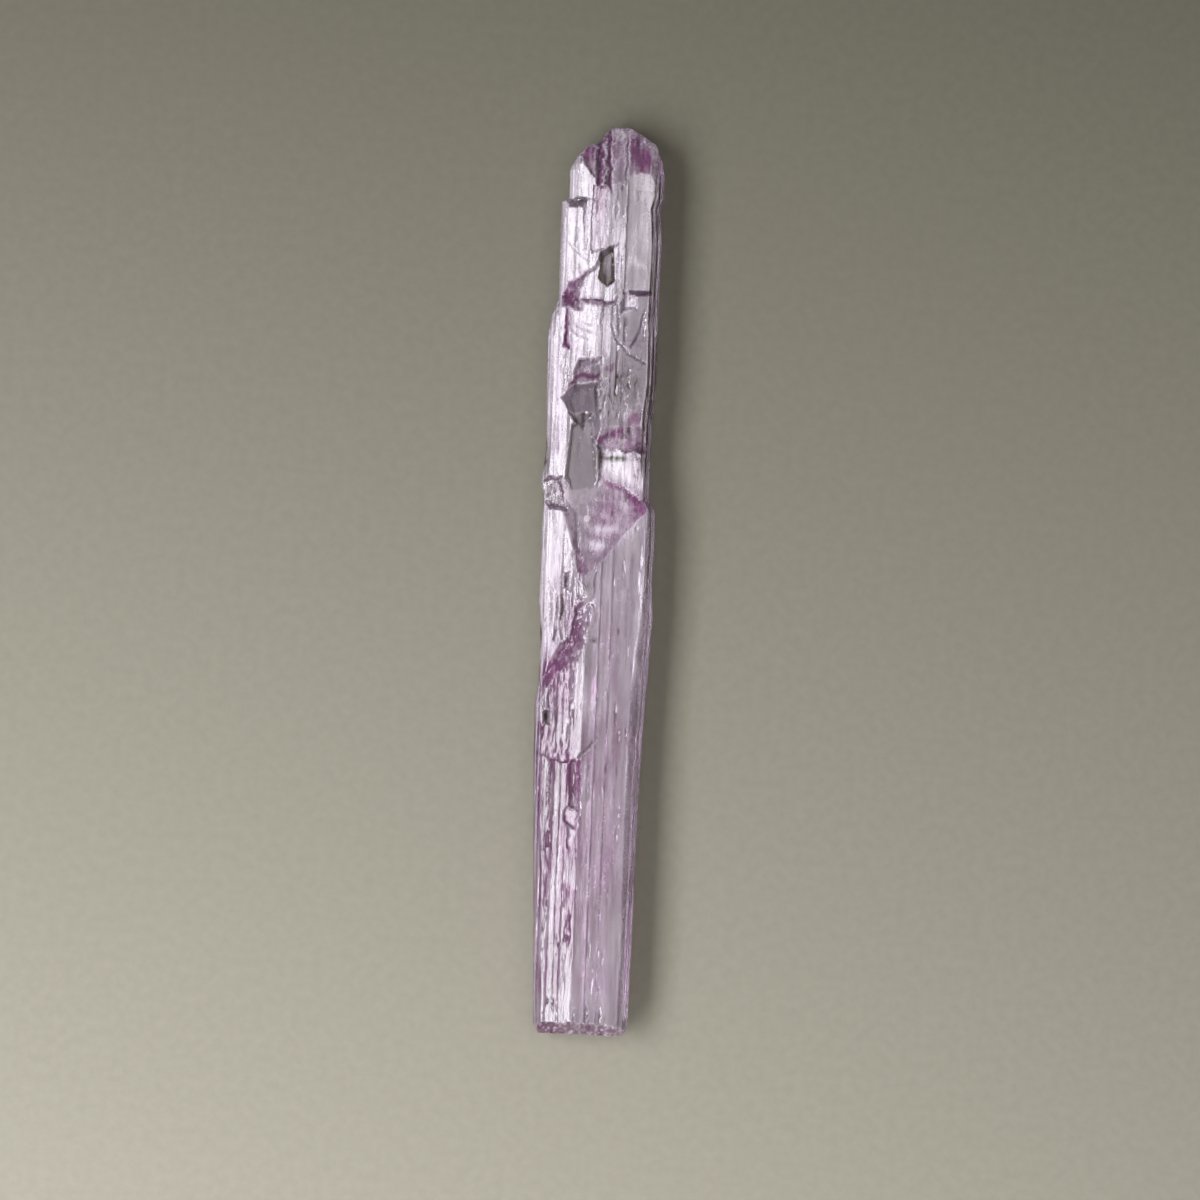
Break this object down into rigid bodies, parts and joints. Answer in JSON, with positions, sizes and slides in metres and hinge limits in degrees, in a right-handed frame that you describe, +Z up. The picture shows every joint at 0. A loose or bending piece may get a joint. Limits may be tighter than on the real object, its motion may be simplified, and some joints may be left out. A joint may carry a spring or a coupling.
{
  "type": "kunzite crystal",
  "caption": "Long clear lilac kunzite crystal, a flattened striated prism with chips and ledges, a worn pointed tip and a broken end, lying on its broad back face.",
  "frame": {"origin": "on the resting face, under the middle of the crystal's bounding box", "axes": "+Y along the crystal towards its grown tip, +X across it, +Z up from the resting back face to the chipped front"},
  "size_m": [0.0188, 0.146, 0.0095],
  "materials": {
    "kunzite": "clear lilac crystal with fine lengthwise striations and polished to silky faces"
  },
  "bodies": {
    "root": {"kunzite_crystal": "kunzite"}
  },
  "joints": []
}
